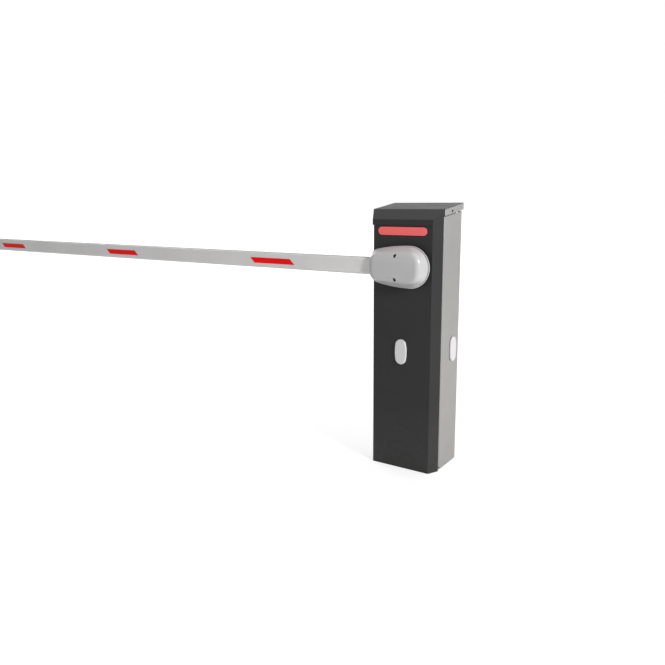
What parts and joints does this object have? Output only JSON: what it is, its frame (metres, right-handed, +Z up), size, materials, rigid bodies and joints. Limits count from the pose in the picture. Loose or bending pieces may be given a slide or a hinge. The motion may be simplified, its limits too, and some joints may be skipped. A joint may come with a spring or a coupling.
{
  "type": "boom barrier",
  "caption": "Automatic boom barrier: slim faceted cabinet with a sloping lid and a side service door, and a straight reflective boom held in an egg-shaped hub that lifts upright.",
  "frame": {"origin": "underside of the base plate, in the middle of the cabinet's plan", "axes": "+X to the right seen from the front, -Y to the front where the boom is, +Z up; at rest the boom is closed and points along -X"},
  "size_m": [3.1095, 0.299, 1.084],
  "materials": {
    "dark_paint": "powder coat, dark grey, slightly textured",
    "light_paint": "powder coat, light grey, slightly textured",
    "galvanised": "galvanised, dull",
    "pin_steel": "bright turned steel",
    "cast_metal": "cast aluminium, bead blasted",
    "red_lens": "translucent red lens, gloss",
    "cover_plastic": "light grey moulded plastic",
    "bush_plastic": "black moulded plastic",
    "hub_plastic": "light grey moulded plastic, satin",
    "arm_paint": "white-grey powder coat on aluminium",
    "soft_strip": "light grey soft strip",
    "tip_plastic": "grey moulded plastic",
    "reflector_red": "red reflective sheeting"
  },
  "bodies": {
    "cabinet": {"base_plate": "galvanised", "hinge_pin_lower": "pin_steel", "hinge_pin_upper": "pin_steel", "front_panel": "dark_paint", "left_panel": "light_paint", "back_panel": "light_paint", "door_frame": "light_paint", "hinge_bracket_upper": "galvanised", "lid_cheeks": "light_paint", "lid_top": "dark_paint", "light_lens": "red_lens", "front_oval_cover": "cover_plastic", "shaft_carrier": "galvanised", "shaft_bearing": "cast_metal"},
    "door": {"side_door": "light_paint", "door_oval_cover": "cover_plastic", "door_bush_lower": "bush_plastic", "door_bush_upper": "bush_plastic"},
    "boom": {"drive_shaft": "pin_steel", "shaft_collar": "pin_steel", "arm_holder": "cast_metal", "arm_clamp_plate": "galvanised", "hub_housing": "hub_plastic", "hub_cover": "hub_plastic", "arm_profile": "arm_paint", "arm_top_strip": "soft_strip", "arm_bottom_strip": "soft_strip", "arm_tip_cap": "tip_plastic", "reflector_front_1": "reflector_red", "reflector_back_1": "reflector_red", "reflector_front_2": "reflector_red", "reflector_back_2": "reflector_red", "reflector_front_3": "reflector_red", "reflector_back_3": "reflector_red"}
  },
  "joints": [
    {"name": "boom_lift", "type": "hinge", "parent": "cabinet", "child": "boom", "pos_m": [0.05, -0.12, 0.842], "axis": [0, 1, 0], "range_deg": [0, 90]},
    {"name": "door_swing", "type": "hinge", "parent": "cabinet", "child": "door", "pos_m": [0.1415, -0.0446, 0.5], "axis": [0, 0, -1], "range_deg": [0, 100]}
  ]
}
